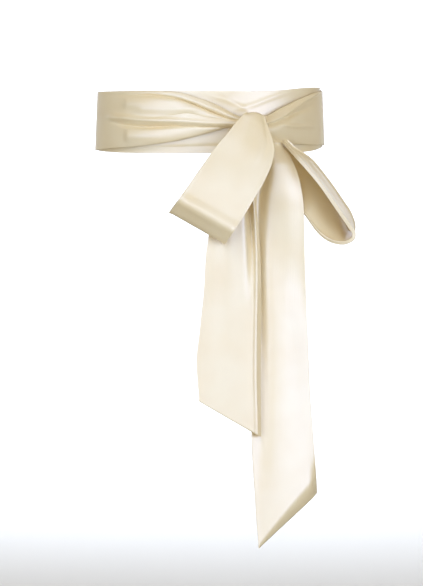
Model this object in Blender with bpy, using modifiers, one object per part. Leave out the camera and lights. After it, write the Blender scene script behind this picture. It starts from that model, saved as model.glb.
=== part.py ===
"""Satin sash: one long flat strip of satin, wound twice round the waist and tied in a bow.

The middle of the strip lies flat across the front. Its two ends run round to the back, where
they cross in a pinch, come forward again outside it, and are tied at the front right in a bow
with two loops and two tails. All tables are in millimetres and degrees. +Z is up, -Y is the
front, and the origin is the middle of the waist ring.

A turn of 0 degrees is the front, 90 the right side as seen from the front, -90 the left side
and 180 the back. `across` runs from 0 at a stretch's upper or left edge to 1 at the other.
"""

import math
from collections import namedtuple

import bmesh
import bpy
import numpy as np

MM = 0.001
WALL = 1.2
SEAM_GAP = 0.3

# The waist ring's middle line, which widens a little towards its lower edge
WAIST_HALF_WIDTH = 135.0
WAIST_HALF_DEPTH = 92.5
WAIST_FLARE = 0.042
LAYER_STEP = 2.0
LAYER_BLEND = 0.3

# The crossing at the back: one end passes in the upper half, the other in the lower half
PINCH_HALF_ANGLE = 7.0
PINCH_TAPER_ANGLE = 25.0
PINCH_UPPER_EDGE = 38.0
PINCH_UPPER_HEM = 2.2
PINCH_LOWER_TOP = 1.2
PINCH_LOWER_HEM = -33.0
PINCH_MIDDLE_OFFSET = 3.5
PINCH_OUTER_OFFSET = 6.0
PINCH_INNER_SETTLE_ANGLE = 12.0
PINCH_OUTER_RISE_ANGLE = 8.0
PINCH_OUTER_SETTLE_ANGLE = 34.0
PINCH_PLEATS = 3
PINCH_PLEAT_HEIGHT = 1.8
PINCH_PLEAT_FADE = 16.0

# The figure below the waist, which the tails hang on
FIGURE_HALF_WIDTH = 138.0
FIGURE_HALF_DEPTH = 95.0
FIGURE_SIDE_SLOPE = 0.34
FIGURE_FRONT_SLOPE = 0.20
FIGURE_ROUNDING = 60.0

# The share of a fold's length over which it fades in and out, half of it past each end
FOLD_FADE = 0.18

# Faces along and across each stretch of cloth
INNER_WRAP_GRID = (72, 10)
LEFT_WRAP_GRID = (48, 14)
RIGHT_WRAP_GRID = (40, 12)
LOOP_GRID = (36, 8)
LEFT_TAIL_GRID = (22, 8)
RIGHT_TAIL_GRID = (26, 8)

Turn = namedtuple("Turn", "angle top hem lift")
Fold = namedtuple("Fold", "path half_width height")
Cross = namedtuple("Cross", "left right bulge")
Drop = namedtuple("Drop", "left_x left_z right_x right_z")
Section = namedtuple("Section", "x y z half_depth half_height")

INNER_WRAP = [
    Turn(-180, 37, -34, 0),
    Turn(-150, 37, -34, 0),
    Turn(-90, 35.5, -34.5, 0),
    Turn(-60, 36, -36.5, 0),
    Turn(-31, 36, -37.5, 0),
    Turn(0, 36, -37, 0),
    Turn(30, 36, -37, 0),
    Turn(57, 40, -36, 0),
    Turn(90, 41, -29.8, 0),
    Turn(120, 40.5, -31, 0),
    Turn(150, 38.5, -33, 0),
    Turn(180, 38, -33, 0),
]
INNER_FOLDS = [
    Fold(((-50, 0.93), (0, 0.86), (30, 0.86)), 0.035, -1.2),
]

LEFT_WRAP = [
    Turn(-180, 38, -34, 0),
    Turn(-150, 38, -34.5, 0),
    Turn(-120, 37, -35, 0),
    Turn(-90, 36, -35, 0),
    Turn(-70, 34.7, -33.5, 0.6),
    Turn(-54, 34.8, -31, 1.6),
    Turn(-31, 35.2, -26.5, 2.6),
    Turn(-17.5, 33.6, -22.2, 3.6),
    Turn(-5, 26.5, -15.3, 5.6),
    Turn(5, 17, -9, 8.2),
    Turn(11.8, 8.2, -6, 10.5),
    Turn(19, 2, -6, 12),
]
LEFT_WRAP_FOLDS = [
    Fold(((-60, 0.08), (-32, 0.10), (-18, 0.15), (-3, 0.24), (14, 0.36)), 0.045, -2.4),
    Fold(((-58, 0.58), (-32, 0.62), (-10, 0.70), (14, 0.95)), 0.06, -2.4),
    Fold(((-62, 0.50), (-32, 0.52), (-10, 0.56), (14, 0.70)), 0.07, 2.0),
    Fold(((-20, 0.26), (-3, 0.36), (14, 0.52)), 0.05, 1.6),
]

RIGHT_WRAP = [
    Turn(27, 4, -22, 19),
    Turn(32, 9, -24, 16),
    Turn(40, 18, -25.5, 9),
    Turn(48, 24.5, -26.5, 4),
    Turn(57, 31, -27, 1.8),
    Turn(65, 36, -27.5, 0.8),
    Turn(90, 40.6, -28.8, 0),
    Turn(120, 40, -31, 0),
    Turn(150, 38.5, -33.5, 0),
    Turn(180, 38, -34, 0),
]
RIGHT_WRAP_FOLDS = [
    Fold(((27, 0.42), (34, 0.27), (45, 0.17), (64, 0.05)), 0.05, 2.6),
    Fold(((27, 0.60), (34, 0.42), (45, 0.30), (60, 0.22)), 0.08, -2.2),
    Fold(((27, 0.70), (36, 0.56), (50, 0.52)), 0.07, 1.4),
]

KNOT = [
    Section(35, -102, -2.5, 7.5, 8),
    Section(40, -102.5, -4.8, 10.8, 11),
    Section(46, -103, -7.2, 13.2, 13.4),
    Section(52, -102.6, -9, 14.8, 15.4),
    Section(58, -102, -10, 15.5, 16.5),
    Section(64, -101.2, -10.4, 16, 17),
    Section(70, -100, -10.8, 15.6, 16.8),
    Section(76, -98.8, -11.4, 14.2, 15.8),
    Section(81, -97.2, -12, 11.6, 13.4),
    Section(85, -95.4, -12.6, 7.6, 9),
]
KNOT_LEFT_END = (30.5, -101.5, -1)
KNOT_RIGHT_END = (88.5, -94, -13.2)
KNOT_SQUARENESS = 2.5
KNOT_SIDES = 22
KNOT_PLEATS = 5
KNOT_PLEAT_HEIGHT = 0.5

LEFT_LOOP = [
    Cross((45, -104, 0), (60, -104, -3), 0),
    Cross((43.5, -109.5, 9.5), (62.5, -110.5, 6.5), 2.4),
    Cross((39.5, -114.5, 8.5), (66.5, -118, -4.5), 3.2),
    Cross((34, -119, 3), (71, -125, -17), 3),
    Cross((28.5, -123, -3), (74.5, -131, -31), 2.5),
    Cross((21, -128, -13), (72, -138, -47), 2.5),
    Cross((8, -134, -28), (63.5, -145, -67), 2),
    Cross((-11.5, -144, -54.5), (50, -150, -90), 1),
    Cross((-28.5, -151, -78.5), (35.5, -154, -114), 0.5),
    Cross((-44, -155, -99.5), (20.8, -156, -135.5), 0),
    Cross((-47.6, -144, -105), (16.6, -145, -141.4), 0),
    Cross((-42.5, -133, -98.5), (20.5, -133.5, -134), 0),
    Cross((-26, -129, -76), (36, -130, -111), 0),
    Cross((-8, -125, -52), (47, -127, -86), 0),
    Cross((12, -122, -36), (56, -124, -62), 0),
    Cross((28, -119.5, -27.5), (61, -121.5, -43), 0),
    Cross((38, -117.5, -22), (63, -118.5, -28.5), 0),
    Cross((46, -108, -14), (60, -108, -17), 0),
]

RIGHT_LOOP = [
    Cross((76, -105, -14), (77, -97, -13), 0),
    Cross((88, -103, -24), (88.5, -95, -21.5), 0.5),
    Cross((95, -111, -34), (99, -88, -31), 1),
    Cross((101, -119, -41), (111, -81.5, -37.5), 1.5),
    Cross((112.5, -128, -54), (122, -77, -45), 2),
    Cross((125, -132, -69), (136, -72, -61), 2),
    Cross((148, -134, -101.5), (157, -66, -90.6), 1),
    Cross((162, -134, -121.8), (168, -64, -112), 0),
    Cross((166.9, -134, -130), (171.3, -64, -123.5), 0),
    Cross((165.2, -134, -136), (170.2, -64, -130), 0),
    Cross((159, -133, -139.5), (164.5, -63.5, -127.5), 0),
    Cross((150.9, -132, -140.8), (157.3, -63, -111), 0),
    Cross((137, -129, -137), (144.5, -63.5, -93), 0),
    Cross((124.5, -121, -126.9), (132, -64.5, -73.5), 0),
    Cross((113.5, -109, -112), (118.5, -67, -56), 0),
    Cross((101, -99, -92), (106.5, -73, -44), 0),
    Cross((91, -97, -62), (96.5, -82, -37), 0),
    Cross((84.5, -98, -37), (88.5, -90, -31.5), 0),
    Cross((76, -100, -22.5), (76.5, -94.5, -21.5), 0),
]

LEFT_TAIL = [
    Drop(47, -17, 60, -18),
    Drop(42, -29, 60.5, -29),
    Drop(30.5, -50.5, 56.5, -50.5),
    Drop(14, -85.5, 53, -85.5),
    Drop(3.5, -108.5, 55, -109),
    Drop(-3.5, -145, 58, -148),
    Drop(-7.5, -200, 59.5, -202),
    Drop(-11.5, -237.5, 59, -245),
    Drop(-15.5, -279, 58.5, -300),
    Drop(-14, -303, 58.7, -335),
    Drop(-12.5, -322, 59, -363),
]
LEFT_TAIL_HANG = -113.0
LEFT_TAIL_LIFT = 9.0
LEFT_TAIL_FOLDS = [
    Fold(((0.05, 0.55), (0.3, 0.8), (0.9, 0.9)), 0.07, -1.6),
    Fold(((0.0, 0.3), (0.25, 0.35), (0.6, 0.45)), 0.16, 1.6),
]

RIGHT_TAIL = [
    Drop(61, -15, 76, -13),
    Drop(65, -27, 83.5, -27),
    Drop(63.5, -40, 93.5, -40.5),
    Drop(58, -60, 102.5, -60.5),
    Drop(51.5, -82.5, 107.5, -83),
    Drop(49, -107, 110, -108),
    Drop(47.5, -150, 111, -151),
    Drop(46.5, -207, 113, -209),
    Drop(46.5, -265, 115, -266.5),
    Drop(47.5, -322, 117, -320),
    Drop(48.5, -375, 119, -350),
    Drop(51.5, -425, 121.5, -386),
    Drop(54, -463, 123.5, -414),
    Drop(56.5, -489, 125, -433),
]
RIGHT_TAIL_HANG = -108.0
RIGHT_TAIL_LIFT = 3.5
RIGHT_TAIL_FOLDS = [
    Fold(((0.0, 0.2), (0.25, 0.12), (0.75, 0.1)), 0.12, -1.8),
    Fold(((0.0, 0.6), (0.3, 0.7), (0.8, 0.6)), 0.2, 1.4),
]
TAIL_TOP_PULL = 7.0
TAIL_PULL_START = -20.0
TAIL_PULL_END = -45.0
HANG_BLEND = 5.0

SATIN_COLOURS = {
    "inner_wrap": (0.84, 0.76, 0.60),
    "left_wrap": (0.86, 0.78, 0.62),
    "right_wrap": (0.83, 0.74, 0.56),
    "knot": (0.86, 0.78, 0.62),
    "left_loop": (0.88, 0.81, 0.66),
    "right_loop": (0.84, 0.74, 0.56),
    "left_tail": (0.87, 0.79, 0.64),
    "right_tail": (0.86, 0.78, 0.63),
}


def ease(share):
    """A share of 0 to 1 that starts and ends gently; it stays at its ends outside them."""
    share = np.clip(share, 0.0, 1.0)
    return share * share * (3.0 - 2.0 * share)


def curve_through(places, values, at):
    """A smooth curve through rows of values at the given places, read at other places."""
    places = np.asarray(places, float)
    values = np.asarray(values, float)
    at = np.asarray(at, float)
    slopes = np.gradient(values, places, axis=0)
    index = np.clip(np.searchsorted(places, at, side="right") - 1, 0, len(places) - 2)
    span = places[index + 1] - places[index]
    share = (at - places[index]) / span
    if values.ndim > 1:
        share = share[:, None]
        span = span[:, None]
    start_weight = (1 + 2 * share) * (1 - share) ** 2
    end_weight = share ** 2 * (3 - 2 * share)
    start_pull = share * (1 - share) ** 2 * span
    end_pull = share ** 2 * (share - 1) * span
    return (start_weight * values[index] + end_weight * values[index + 1]
            + start_pull * slopes[index] + end_pull * slopes[index + 1])


def column(rows, name):
    """One named column of a table."""
    return np.array([getattr(row, name) for row in rows], float)


def fold_relief(along, across, folds):
    """Height of the soft ridges and troughs at each point, each fading out at its two ends."""
    relief = np.zeros(np.broadcast(along, across).shape)
    for fold in folds:
        path = np.array(fold.path, float)
        centre = np.interp(along, path[:, 0], path[:, 1])
        fade = FOLD_FADE * (path[-1, 0] - path[0, 0])
        window = ease((along - path[0, 0]) / fade + 0.5) * ease((path[-1, 0] - along) / fade + 0.5)
        relief = relief + fold.height * window * np.exp(-((across - centre) / fold.half_width) ** 2)
    return relief


def ring_points(angle, z, offset):
    """Points on the waist ring, `offset` outside its middle line."""
    flare = -WAIST_FLARE * z
    turn = np.radians(angle)
    x = (WAIST_HALF_WIDTH + flare + offset) * np.sin(turn)
    y = -(WAIST_HALF_DEPTH + flare + offset) * np.cos(turn)
    return np.stack([x, y, z], axis=-1)


def pinch_offset(from_back, outer):
    """Distance outside the ring near the back crossing, of the stretch that ends up outside or inside."""
    if not outer:
        return PINCH_MIDDLE_OFFSET * (1 - ease(from_back / PINCH_INNER_SETTLE_ANGLE))
    rise = (PINCH_OUTER_OFFSET - PINCH_MIDDLE_OFFSET) * ease(from_back / PINCH_OUTER_RISE_ANGLE)
    past_rise = (from_back - PINCH_OUTER_RISE_ANGLE) / PINCH_OUTER_SETTLE_ANGLE
    settle = (PINCH_OUTER_OFFSET - LAYER_STEP) * ease(past_rise)
    return PINCH_MIDDLE_OFFSET + rise - settle


def rest_on_layer(offset):
    """Keeps the outer stretches clear of the layer that they lie on, with no sharp edge."""
    return LAYER_STEP + LAYER_BLEND * np.logaddexp(0, (offset - LAYER_STEP) / LAYER_BLEND)


def wrap_points(rows, folds, first, last, grid, outer, upper_ends):
    """A stretch of the band from one turn angle to another, as rows of points from its top to its hem.

    `upper_ends` says for the ends at -180 and 180 degrees whether the stretch passes the back
    crossing in the upper half.
    """
    steps, strips = grid
    angle = np.linspace(first, last, steps + 1)
    table = np.stack([column(rows, "top"), column(rows, "hem"), column(rows, "lift")], axis=1)
    top, hem, lift = curve_through(column(rows, "angle"), table, angle).T
    from_back = 180.0 - np.abs(angle)
    gathered = 1 - ease((from_back - PINCH_HALF_ANGLE) / PINCH_TAPER_ANGLE)
    upper = np.where(angle < 0, upper_ends[0], upper_ends[1])
    pinch_top = np.where(upper, PINCH_UPPER_EDGE, PINCH_LOWER_TOP)
    pinch_hem = np.where(upper, PINCH_UPPER_HEM, PINCH_LOWER_HEM)
    top = top + gathered * (pinch_top - top)
    hem = hem + gathered * (pinch_hem - hem)
    across = np.linspace(0, 1, strips + 1)[None, :]
    along = angle[:, None]
    z = top[:, None] + (hem - top)[:, None] * across
    pleat_size = PINCH_PLEAT_HEIGHT * np.exp(-(from_back / PINCH_PLEAT_FADE) ** 2)
    pleats = -pleat_size[:, None] * np.cos(2 * math.pi * PINCH_PLEATS * across)
    offset = (pinch_offset(from_back, outer) + lift)[:, None] + pleats
    offset = offset + fold_relief(along, across, folds)
    if outer:
        offset = rest_on_layer(offset)
    return ring_points(along + 0 * across, z, offset)


def loop_points(rows, grid):
    """A ribbon carried through rows of edge pairs, raised between its edges by each row's bulge."""
    steps, strips = grid
    left = np.array([row.left for row in rows], float)
    right = np.array([row.right for row in rows], float)
    middle = (left + right) / 2
    length = np.concatenate([[0], np.cumsum(np.linalg.norm(np.diff(middle, axis=0), axis=1))])
    at = np.linspace(0, length[-1], steps + 1)
    left = curve_through(length, left, at)
    right = curve_through(length, right, at)
    bulge = curve_through(length, column(rows, "bulge"), at)
    across = np.linspace(0, 1, strips + 1)[None, :, None]
    points = left[:, None, :] + (right - left)[:, None, :] * across
    heading = np.gradient((left + right) / 2, at, axis=0)
    outward = np.cross(heading, right - left)
    outward = outward / np.linalg.norm(outward, axis=1)[:, None]
    arch = bulge[:, None] * np.sin(math.pi * across[:, :, 0])
    return points + outward[:, None, :] * arch[:, :, None]


def figure_depth(x, z, lift):
    """How far forward the figure's surface lies at a place on its front, plus a lift off it."""
    drop = np.hypot(np.minimum(z, 0), FIGURE_ROUNDING) - FIGURE_ROUNDING
    half_width = FIGURE_HALF_WIDTH + FIGURE_SIDE_SLOPE * drop + lift
    half_depth = FIGURE_HALF_DEPTH + FIGURE_FRONT_SLOPE * drop + lift
    return half_depth * np.sqrt(1 - (x / half_width) ** 2)


def tail_points(rows, folds, hang, lift, grid):
    """A tail that hangs from the knot, and lies on the figure below where that comes forward."""
    steps, strips = grid
    left = np.stack([column(rows, "left_x"), column(rows, "left_z")], axis=1)
    right = np.stack([column(rows, "right_x"), column(rows, "right_z")], axis=1)
    middle = (left + right) / 2
    length = np.concatenate([[0], np.cumsum(np.linalg.norm(np.diff(middle, axis=0), axis=1))])
    at = np.linspace(0, length[-1], steps + 1)
    left = curve_through(length, left, at)
    right = curve_through(length, right, at)
    across = np.linspace(0, 1, strips + 1)[None, :, None]
    flat = left[:, None, :] + (right - left)[:, None, :] * across
    x, z = flat[:, :, 0], flat[:, :, 1]
    pull = TAIL_TOP_PULL * ease((z - TAIL_PULL_END) / (TAIL_PULL_START - TAIL_PULL_END))
    free = -hang - pull
    resting = figure_depth(x, z, lift)
    depth = free + HANG_BLEND * np.logaddexp(0, (resting - free) / HANG_BLEND)
    relief = fold_relief((at / length[-1])[:, None], across[:, :, 0], folds)
    return np.stack([x, -(depth + relief), z], axis=-1)


def grid_mesh(name, points):
    """A mesh of four-sided faces through a grid of points, in metres."""
    rows, columns = points.shape[:2]
    numbers = np.arange(rows * columns).reshape(rows, columns)
    faces = np.stack([numbers[:-1, :-1], numbers[1:, :-1], numbers[1:, 1:], numbers[:-1, 1:]], axis=-1)
    mesh = bpy.data.meshes.new(name)
    mesh.from_pydata((points.reshape(-1, 3) * MM).tolist(), [], faces.reshape(-1, 4).tolist())
    mesh.update()
    mesh.shade_smooth()
    return mesh


def satin(name):
    """The stretch's own satin: a soft gloss on a champagne ground."""
    material = bpy.data.materials.new(name + "_satin")
    material.use_nodes = True
    surface = material.node_tree.nodes["Principled BSDF"]
    surface.inputs["Base Color"].default_value = (*SATIN_COLOURS[name], 1)
    surface.inputs["Roughness"].default_value = 0.35
    surface.inputs["Metallic"].default_value = 0.0
    return material


def add_object(name, mesh, collection):
    piece = bpy.data.objects.new(name, mesh)
    collection.objects.link(piece)
    return piece


def add_cloth(name, points, collection):
    """A stretch of cloth: the sheet through the points, thickened evenly to both sides."""
    piece = add_object(name, grid_mesh(name, points), collection)
    piece.data.materials.append(satin(name))
    wall = piece.modifiers.new("wall", "SOLIDIFY")
    wall.thickness = WALL * MM
    wall.offset = 0.0
    wall.use_rim = True
    return piece


def knot_mesh(name, grow):
    """The knot as a loft of rounded sections from left to right, with shallow pleats round it."""
    angle = np.arange(KNOT_SIDES) * 2 * math.pi / KNOT_SIDES
    power = 2 / KNOT_SQUARENESS
    side = np.sign(np.cos(angle)) * np.abs(np.cos(angle)) ** power
    rise = np.sign(np.sin(angle)) * np.abs(np.sin(angle)) ** power
    rings = []
    for section in KNOT:
        share = (section.x - KNOT[0].x) / (KNOT[-1].x - KNOT[0].x)
        pleat = KNOT_PLEAT_HEIGHT * math.cos(2 * math.pi * KNOT_PLEATS * share)
        y = section.y + (section.half_depth + pleat + grow) * side
        z = section.z + (section.half_height + pleat + grow) * rise
        rings.append(np.stack([np.full(KNOT_SIDES, section.x), y, z], axis=-1))
    build = bmesh.new()
    loops = [[build.verts.new(point * MM) for point in ring] for ring in rings]
    ends = []
    for tip, outward in ((KNOT_LEFT_END, -grow), (KNOT_RIGHT_END, grow)):
        ends.append(build.verts.new(np.array([tip[0] + outward, tip[1], tip[2]]) * MM))
    for near, far in zip(loops[:-1], loops[1:]):
        for one in range(KNOT_SIDES):
            two = (one + 1) % KNOT_SIDES
            build.faces.new((near[one], near[two], far[two], far[one]))
    for one in range(KNOT_SIDES):
        two = (one + 1) % KNOT_SIDES
        build.faces.new((loops[0][two], loops[0][one], ends[0]))
        build.faces.new((loops[-1][one], loops[-1][two], ends[1]))
    bmesh.ops.recalc_face_normals(build, faces=build.faces)
    mesh = bpy.data.meshes.new(name)
    build.to_mesh(mesh)
    build.free()
    mesh.shade_smooth()
    return mesh


def add_knot(parts, cutters):
    """The knot, and the slightly larger copy of it that trims what enters the knot."""
    knot = add_object("knot", knot_mesh("knot", 0.0), parts)
    knot.data.materials.append(satin("knot"))
    cutter = add_object("knot_cutter", knot_mesh("knot_cutter", SEAM_GAP), cutters)
    cutter.hide_render = True
    cutter.display_type = "WIRE"
    return cutter


def trim_at_knot(piece, cutter):
    """Ends a stretch of cloth a seam's gap outside the knot."""
    trim = piece.modifiers.new("trim at knot", "BOOLEAN")
    trim.operation = "DIFFERENCE"
    trim.solver = "EXACT"
    trim.object = cutter


def add_band(parts, cutter):
    """The three stretches round the waist: the flat middle inside, and the two ends outside it."""
    seam = math.degrees(SEAM_GAP / 2 / WAIST_HALF_WIDTH)
    back = 180 - seam
    left_end = LEFT_WRAP[-1].angle
    right_end = RIGHT_WRAP[0].angle
    inner = wrap_points(INNER_WRAP, INNER_FOLDS, -back, back, INNER_WRAP_GRID, False, (False, True))
    add_cloth("inner_wrap", inner, parts)
    left = wrap_points(LEFT_WRAP, LEFT_WRAP_FOLDS, -back, left_end, LEFT_WRAP_GRID, True, (True, True))
    trim_at_knot(add_cloth("left_wrap", left, parts), cutter)
    right = wrap_points(RIGHT_WRAP, RIGHT_WRAP_FOLDS, right_end, back, RIGHT_WRAP_GRID, True, (False, False))
    trim_at_knot(add_cloth("right_wrap", right, parts), cutter)


def add_bow(parts, cutter):
    """The two loops and the two tails that leave the knot."""
    trim_at_knot(add_cloth("left_loop", loop_points(LEFT_LOOP, LOOP_GRID), parts), cutter)
    trim_at_knot(add_cloth("right_loop", loop_points(RIGHT_LOOP, LOOP_GRID), parts), cutter)
    left = tail_points(LEFT_TAIL, LEFT_TAIL_FOLDS, LEFT_TAIL_HANG, LEFT_TAIL_LIFT, LEFT_TAIL_GRID)
    trim_at_knot(add_cloth("left_tail", left, parts), cutter)
    right = tail_points(RIGHT_TAIL, RIGHT_TAIL_FOLDS, RIGHT_TAIL_HANG, RIGHT_TAIL_LIFT, RIGHT_TAIL_GRID)
    trim_at_knot(add_cloth("right_tail", right, parts), cutter)


def main():
    for piece in list(bpy.data.objects):
        bpy.data.objects.remove(piece, do_unlink=True)
    parts = bpy.data.collections.new("satin_sash")
    cutters = bpy.data.collections.new("cutters")
    bpy.context.scene.collection.children.link(parts)
    bpy.context.scene.collection.children.link(cutters)
    cutter = add_knot(parts, cutters)
    add_band(parts, cutter)
    add_bow(parts, cutter)


main()
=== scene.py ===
"""Satin sash: its looks. One strip of double satin, wound twice round a waist and tied in a bow.

Each stretch of the strip is a closed shell of thin cloth, turned at its edges. All tables are in
millimetres and degrees, and +Z is up, -Y the front and the origin the middle of the waist ring. A
turn of 0 degrees is the front, 90 the right side as seen from the front, -90 the left side and 180
the back. `across` runs from 0 at a stretch's upper or left edge to 1 at the other.
"""

import math
from collections import namedtuple

import bpy
import numpy as np
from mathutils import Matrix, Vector


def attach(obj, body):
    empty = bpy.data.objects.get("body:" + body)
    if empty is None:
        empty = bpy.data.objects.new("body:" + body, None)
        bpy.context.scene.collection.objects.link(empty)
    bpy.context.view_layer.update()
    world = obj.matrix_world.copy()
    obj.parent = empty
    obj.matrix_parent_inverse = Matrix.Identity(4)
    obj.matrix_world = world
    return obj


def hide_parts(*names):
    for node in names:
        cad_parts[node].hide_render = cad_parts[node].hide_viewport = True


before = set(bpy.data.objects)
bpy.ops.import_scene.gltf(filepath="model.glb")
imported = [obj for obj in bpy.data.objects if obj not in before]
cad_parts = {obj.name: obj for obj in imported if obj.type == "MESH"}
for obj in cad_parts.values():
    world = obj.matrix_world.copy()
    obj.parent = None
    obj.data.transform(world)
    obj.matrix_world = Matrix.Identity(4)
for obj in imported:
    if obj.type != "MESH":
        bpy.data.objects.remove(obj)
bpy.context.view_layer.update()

# Lengths are in millimetres here, and a mesh is in metres
MM = 0.001
STRIP_WIDTH = 75.0

# The waist ring's middle line, which widens a little towards its lower edge
WAIST_HALF_WIDTH = 135.0
WAIST_HALF_DEPTH = 92.5
WAIST_FLARE = 0.042
LAYER_STEP = 2.6
LAYER_BLEND = 0.3

# The crossing at the back: one end passes in the upper half, the other in the lower half
PINCH_HALF_ANGLE = 7.0
PINCH_TAPER_ANGLE = 25.0
PINCH_UPPER_EDGE = 38.0
PINCH_UPPER_HEM = 0.6
PINCH_LOWER_TOP = 2.2
PINCH_LOWER_HEM = -33.0
PINCH_MIDDLE_OFFSET = 3.5
PINCH_OUTER_OFFSET = 6.0
PINCH_INNER_SETTLE_ANGLE = 12.0
PINCH_OUTER_RISE_ANGLE = 8.0
PINCH_OUTER_SETTLE_ANGLE = 34.0
PINCH_PLEATS = 4
PINCH_PLEAT_HEIGHT = 1.7
PINCH_PLEAT_FADE = 19.0
PINCH_PLEAT_SPREAD = 1.2
BACK_LAP_ANGLE = 0.1

# The share of its lift that an outer stretch keeps at its edges, where it settles on the layer below
EDGE_SETTLE = 0.22

# The widening oval below the waist ring, which the tails lie against
OVAL_HALF_WIDTH = 138.0
OVAL_HALF_DEPTH = 95.0
OVAL_SIDE_SLOPE = 0.34
OVAL_FRONT_SLOPE = 0.20
OVAL_ROUNDING = 60.0
HANG_BLEND = 5.0

# Where points lie across a stretch: closer together at its turned edges, and given in millimetres
EDGE_INSETS = (0.0, 0.12, 0.3, 0.55, 0.9, 1.3, 1.8, 2.4, 3.1, 3.9, 4.9, 6.1)
FACE_COLUMNS = 44
FINE_COLUMNS = 84
ROW_SPACING = 1.6

Turn = namedtuple("Turn", "angle top hem lift")
Cross = namedtuple("Cross", "left right bulge")
Crease = namedtuple("Crease", "shape width height path")
Puff = namedtuple("Puff", "along across reach_before reach_after reach_across height")
Edge = namedtuple("Edge", "outer inner seam")
Stretch = namedtuple("Stretch", "name points edge turned_end length held")
Ring = namedtuple("Ring", "x y z half_depth half_height")
Lamp = namedtuple("Lamp", "name place aim width height power")

# The turned edge's half thickness by the distance from the edge, as a share of its roll
ROLL_STATIONS = (0.0, 0.25, 0.7, 1.3, 2.0, 3.0, 4.2, 6.0)
ROLL_SHARES = (0.50, 0.80, 0.97, 1.0, 0.85, 0.45, 0.15, 0.0)
CLOTH_HALF_WALL = 0.45

# Each stretch's edge: the roll on its outer and inner face, and how deep the seam lies between them
THICK_EDGE = Edge(1.75, 1.75, 1.1)
SOFT_EDGE = Edge(0.55, 0.55, 0.5)
TAIL_EDGE = Edge(0.25, 0.25, 0.25)
FLAT_EDGE = Edge(0.35, 0.0, 0.2)

# How quickly a lap falls off at its edge, and how round the bottom of a sharp crease is
LAP_EDGE = 0.22
SHARP_ROUNDING = 0.015

# No length is taken as less than this when it divides
SMALLEST_LENGTH = 1e-9


def ease(share):
    """A share of 0 to 1 that starts and ends gently: three of its square less two of its cube."""
    share = np.clip(share, 0.0, 1.0)
    return share * share * (3.0 - 2.0 * share)


def curve_through(places, values, at):
    """A smooth curve through rows of values, in cubic pieces with the slopes of the rows about them."""
    places = np.asarray(places, float)
    values = np.asarray(values, float)
    at = np.asarray(at, float)
    slopes = np.gradient(values, places, axis=0)
    index = np.clip(np.searchsorted(places, at, side="right") - 1, 0, len(places) - 2)
    span = places[index + 1] - places[index]
    share = (at - places[index]) / span
    if values.ndim > 1:
        share = share[:, None]
        span = span[:, None]
    start_weight = (1 + 2 * share) * (1 - share) ** 2
    end_weight = share ** 2 * (3 - 2 * share)
    start_pull = share * (1 - share) ** 2 * span
    end_pull = share ** 2 * (share - 1) * span
    return (start_weight * values[index] + end_weight * values[index + 1]
            + start_pull * slopes[index] + end_pull * slopes[index + 1])


def column(rows, name):
    """One named column of a table."""
    return np.array([getattr(row, name) for row in rows], float)


def crease_section(shape, side):
    """A crease's cross-section, 1 on its line, by the distance to the side of it in widths.

    soft: a round swell, the exponential of minus the square. sharp: a thin line between round
    shoulders, the exponential of minus the distance. lap: falls off slowly to the plus side and
    at once to the minus side, as where one layer is folded over another.
    """
    if shape == "soft":
        return np.exp(-side ** 2)
    if shape == "sharp":
        return np.exp(-np.sqrt(side ** 2 + SHARP_ROUNDING))
    return np.where(side > 0, np.exp(-np.abs(side)), ease(1 + side / LAP_EDGE))


def relief(along, across, creases, puffs=()):
    """Height of all creases and puffs at each point.

    A crease's path has rows of (along, across, strength). A puff is a round swell: the exponential
    of minus the square of the distance from its middle, in its own reaches.
    """
    along, across = np.broadcast_arrays(along, across)
    height = np.zeros(along.shape)
    for crease in creases:
        path = np.array(crease.path, float)
        held = np.clip(along.ravel(), path[0, 0], path[-1, 0])
        centre = curve_through(path[:, 0], path[:, 1], held).reshape(along.shape)
        strength = np.interp(along, path[:, 0], path[:, 2], 0.0, 0.0)
        side = (across - centre) / crease.width
        height = height + crease.height * strength * crease_section(crease.shape, side)
    for puff in puffs:
        reach = np.where(along < puff.along, puff.reach_before, puff.reach_after)
        spread = ((along - puff.along) / reach) ** 2
        spread = spread + ((across - puff.across) / puff.reach_across) ** 2
        height = height + puff.height * np.exp(-spread)
    return height


def column_shares(columns):
    """Where the columns of a stretch lie, as shares of its width: close at its edges, even between."""
    insets = np.array(EDGE_INSETS) / STRIP_WIDTH
    middle = np.linspace(insets[-1], 1 - insets[-1], columns + 2)[1:-1]
    return np.concatenate([insets, middle, 1 - insets[::-1]])


def ring_points(angle, z, offset):
    """Points on the waist ring, an oval that widens downwards, `offset` outside its middle line."""
    flare = -WAIST_FLARE * z
    turn = np.radians(angle)
    x = (WAIST_HALF_WIDTH + flare + offset) * np.sin(turn)
    y = -(WAIST_HALF_DEPTH + flare + offset) * np.cos(turn)
    return np.stack([x, y, z], axis=-1)


def pinch_offset(from_back, outer):
    """Distance outside the ring near the back crossing, for a stretch that ends up outside or inside."""
    if not outer:
        return PINCH_MIDDLE_OFFSET * (1 - ease(from_back / PINCH_INNER_SETTLE_ANGLE))
    rise = (PINCH_OUTER_OFFSET - PINCH_MIDDLE_OFFSET) * ease(from_back / PINCH_OUTER_RISE_ANGLE)
    past_rise = (from_back - PINCH_OUTER_RISE_ANGLE) / PINCH_OUTER_SETTLE_ANGLE
    settle = (PINCH_OUTER_OFFSET - LAYER_STEP) * ease(past_rise)
    return PINCH_MIDDLE_OFFSET + rise - settle


def rest_on_layer(offset):
    """Keeps the outer stretches clear of the layer that they lie on, with no sharp edge."""
    return LAYER_STEP + LAYER_BLEND * np.logaddexp(0, (offset - LAYER_STEP) / LAYER_BLEND)


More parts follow.
